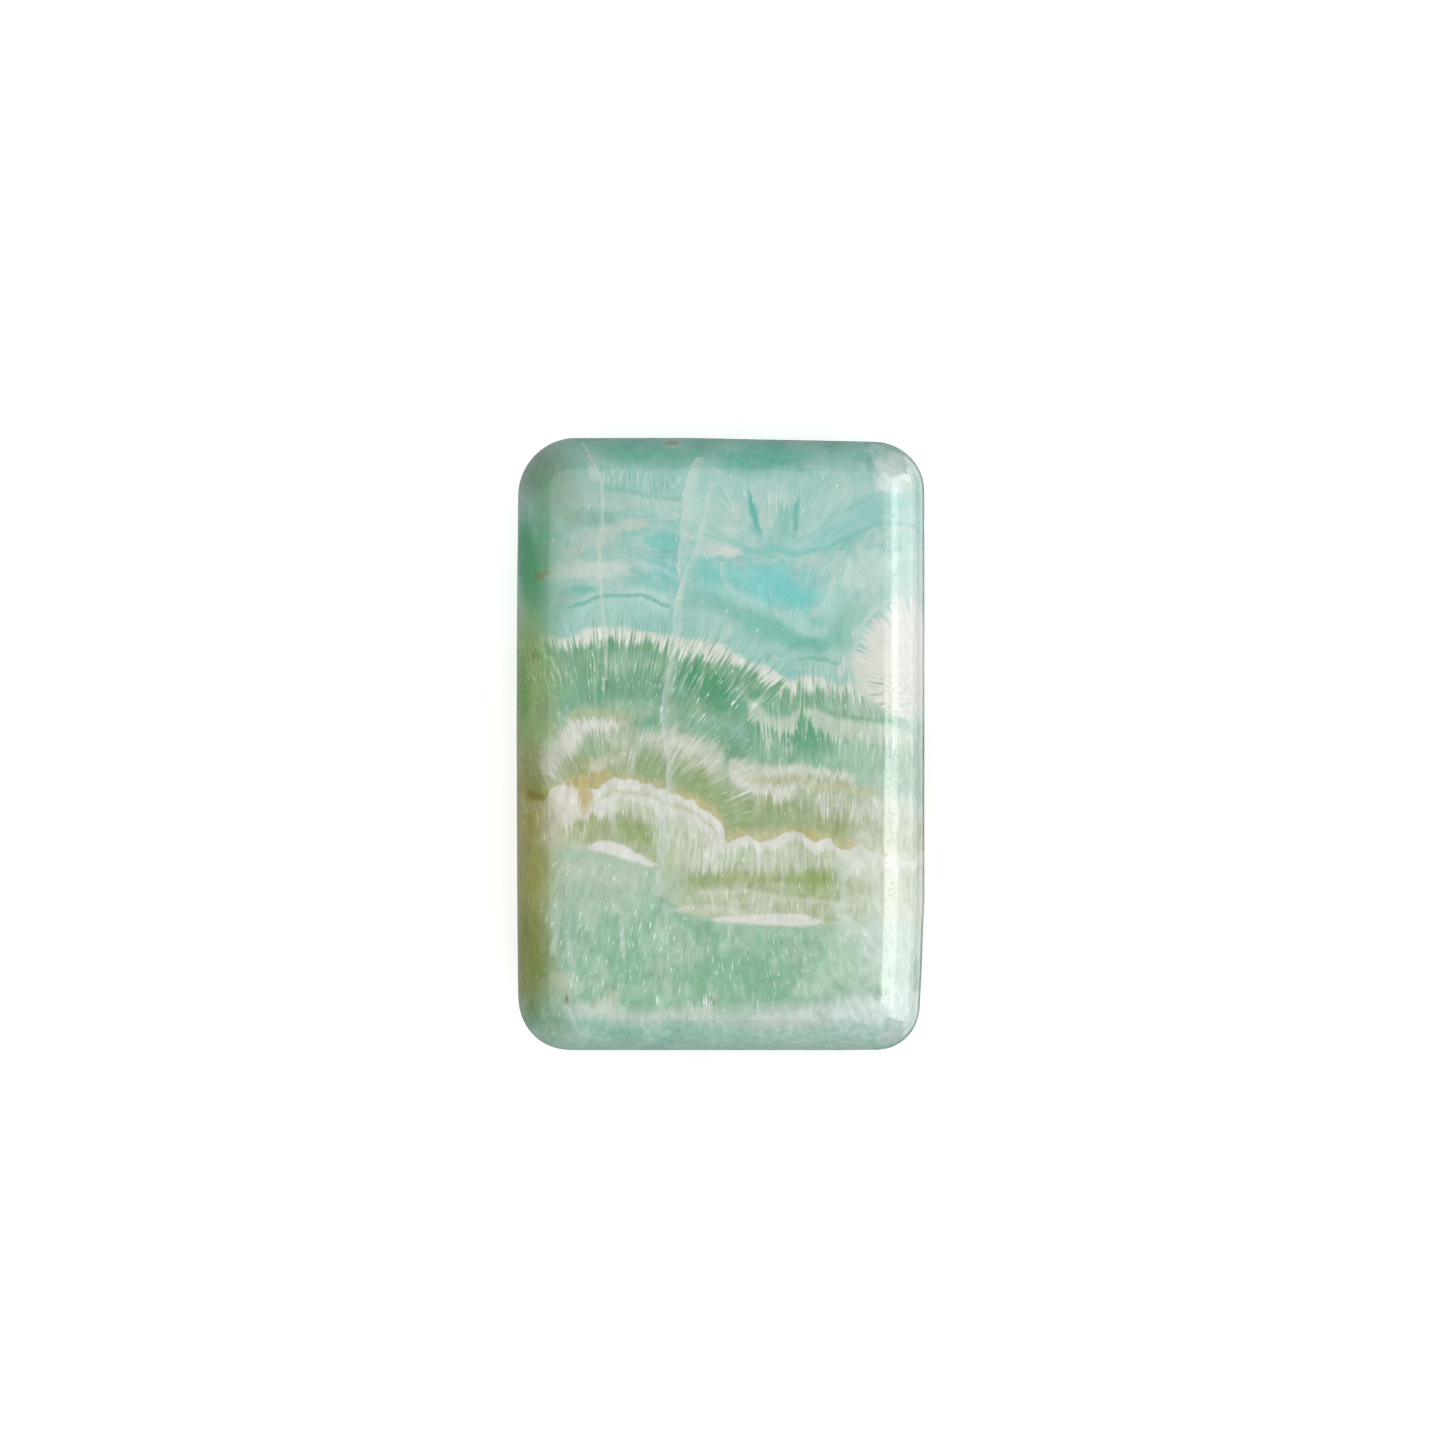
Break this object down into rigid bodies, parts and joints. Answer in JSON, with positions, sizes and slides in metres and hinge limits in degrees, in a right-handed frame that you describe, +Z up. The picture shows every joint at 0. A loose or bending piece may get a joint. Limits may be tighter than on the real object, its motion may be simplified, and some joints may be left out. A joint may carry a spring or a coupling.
{
  "type": "caribbean calcite pillow stone",
  "caption": "Flat polished pillow stone with soft corners and rounded edges, sea-green fibrous calcite crossed by scalloped white and honey-coloured layers",
  "frame": {"origin": "centre of the bounding box's bottom, on the surface that the stone rests on", "axes": "+Z up through the thickness, out of the polished upper face; +Y along the length, towards the end whose left corner is cut back the most; +X across the width"},
  "size_m": [0.05, 0.075, 0.024],
  "materials": {
    "polished_calcite": "polished, glossy, with fine pits"
  },
  "bodies": {
    "root": {"calcite_pillow_stone": "polished_calcite"}
  },
  "joints": []
}
